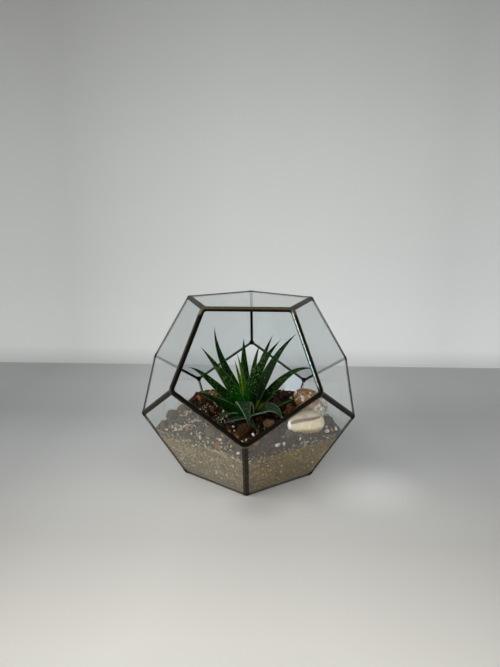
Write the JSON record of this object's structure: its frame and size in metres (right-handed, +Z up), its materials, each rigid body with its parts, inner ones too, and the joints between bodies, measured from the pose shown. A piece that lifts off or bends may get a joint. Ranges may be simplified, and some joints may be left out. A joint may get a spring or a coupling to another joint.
{
  "type": "glass plant terrarium",
  "caption": "Pentagon-faced glass and metal terrarium, open at the front, with sand, potting mix, a spotted succulent and cowrie shells.",
  "frame": {"origin": "middle of the case at the level it stands on", "axes": "+Z up, -Y towards the open face, +X to the right seen from the open face"},
  "size_m": [0.2088, 0.2207, 0.1789],
  "materials": {
    "glass": "gloss",
    "patina_metal": "satin",
    "rim_metal": "satin",
    "sand": "matte",
    "potting_mix": "matte",
    "stem": "satin",
    "spotted_leaf": "satin",
    "grey_green_leaf": "satin",
    "cream_shell": "gloss",
    "mottled_shell": "gloss"
  },
  "bodies": {
    "root": {"cowrie_back": "mottled_shell", "cowrie_front": "cream_shell", "leaf_arching_left": "spotted_leaf", "leaf_arching_right": "spotted_leaf", "leaf_drooping_front": "grey_green_leaf", "leaf_drooping_right": "grey_green_leaf", "leaf_flat_front": "grey_green_leaf", "leaf_flat_front_left": "grey_green_leaf", "leaf_inner_back": "spotted_leaf", "leaf_inner_left": "spotted_leaf", "leaf_inner_upright": "spotted_leaf", "leaf_low_left": "spotted_leaf", "leaf_short_right": "spotted_leaf", "leaf_tall_back_left": "spotted_leaf", "leaf_tall_back_right": "spotted_leaf", "leaf_tall_centre": "spotted_leaf", "leaf_tall_front_right": "spotted_leaf", "leaf_tall_left": "spotted_leaf", "leaf_tall_right": "spotted_leaf", "leaf_thin_front": "grey_green_leaf", "opening_rim": "rim_metal", "pane_bottom": "glass", "pane_lower_front_left": "glass", "pane_lower_front_right": "glass", "pane_lower_rear": "glass", "pane_lower_side_left": "glass", "pane_lower_side_right": "glass", "pane_top": "glass", "pane_upper_left": "glass", "pane_upper_rear_left": "glass", "pane_upper_rear_right": "glass", "pane_upper_right": "glass", "potting_mix": "potting_mix", "sand_layer": "sand", "seam_base_front_left": "patina_metal", "seam_base_front_right": "patina_metal", "seam_base_rear": "patina_metal", "seam_base_side_left": "patina_metal", "seam_base_side_right": "patina_metal", "seam_crown_left": "patina_metal", "seam_crown_rear_left": "patina_metal", "seam_crown_rear_right": "patina_metal", "seam_crown_right": "patina_metal", "seam_foot_front": "patina_metal", "seam_foot_left": "patina_metal", "seam_foot_rear_left": "patina_metal", "seam_foot_rear_right": "patina_metal", "seam_foot_right": "patina_metal", "seam_shoulder_rear": "patina_metal", "seam_shoulder_side_left": "patina_metal", "seam_shoulder_side_right": "patina_metal", "seam_waist_left_front_left": "patina_metal", "seam_waist_left_side_left": "patina_metal", "seam_waist_rear_left_rear": "patina_metal", "seam_waist_rear_left_side_left": "patina_metal", "seam_waist_rear_right_rear": "patina_metal", "seam_waist_rear_right_side_right": "patina_metal", "seam_waist_right_front_right": "patina_metal", "seam_waist_right_side_right": "patina_metal", "stem_and_roots": "stem"}
  },
  "joints": []
}
